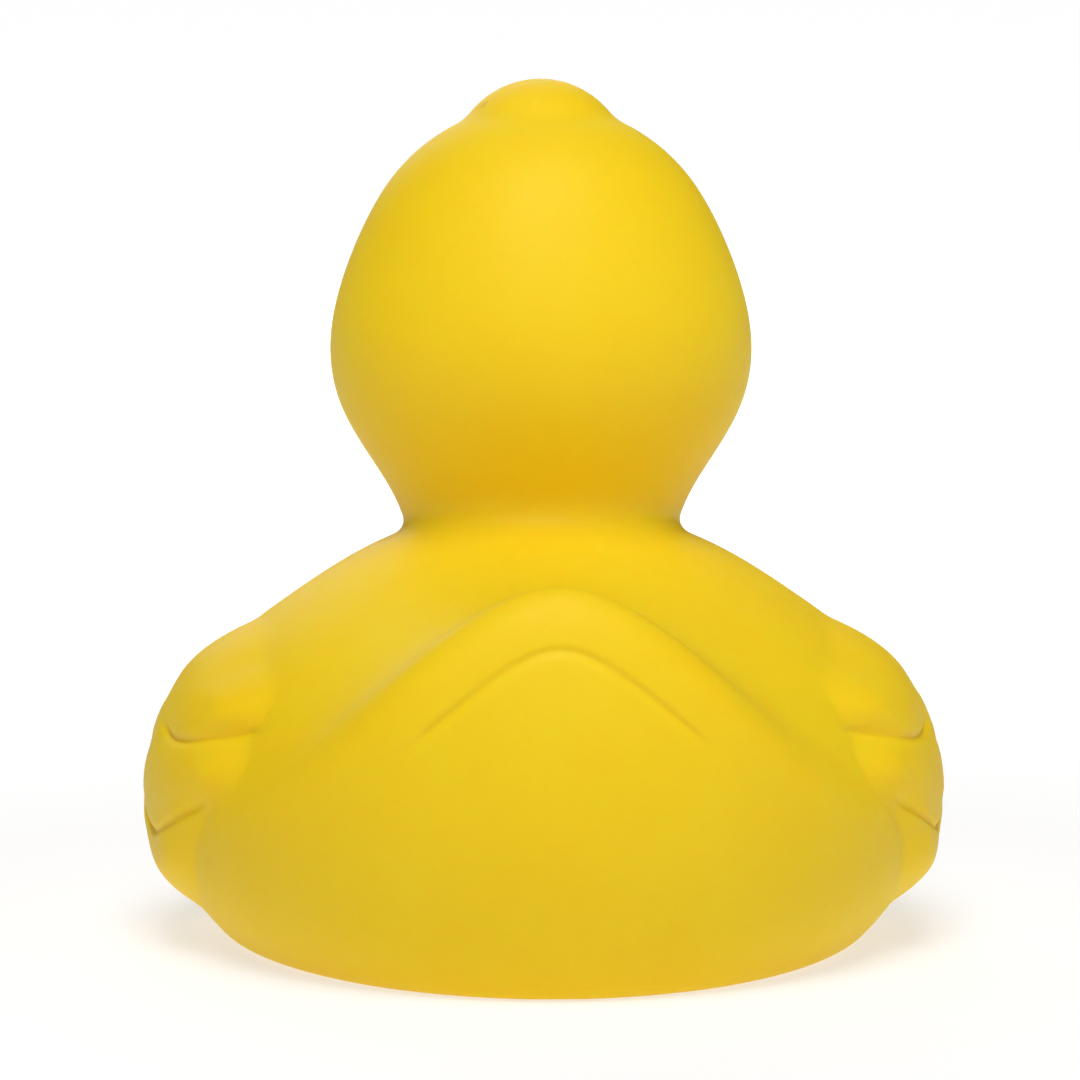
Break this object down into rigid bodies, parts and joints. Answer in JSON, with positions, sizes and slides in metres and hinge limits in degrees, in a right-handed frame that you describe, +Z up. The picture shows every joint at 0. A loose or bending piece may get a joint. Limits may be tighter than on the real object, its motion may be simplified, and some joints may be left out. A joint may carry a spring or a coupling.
{
  "type": "bath duck",
  "caption": "Hollow soft-vinyl bath duck with folded wings, raised tail and a press-in squeaker in its flat base.",
  "frame": {"origin": "centre of the bounding box on the surface the duck stands on", "axes": "+Z up, -Y the way the duck looks, +Y towards the tail, +X towards the duck's left wing"},
  "size_m": [0.075, 0.0847, 0.0796],
  "materials": {
    "yellow_vinyl": "matte soft vinyl, painted orange on the bill and black on the eyes",
    "ivory_plastic": "satin moulded plastic"
  },
  "bodies": {
    "root": {"duck_body": "yellow_vinyl", "squeaker": "ivory_plastic"}
  },
  "joints": []
}
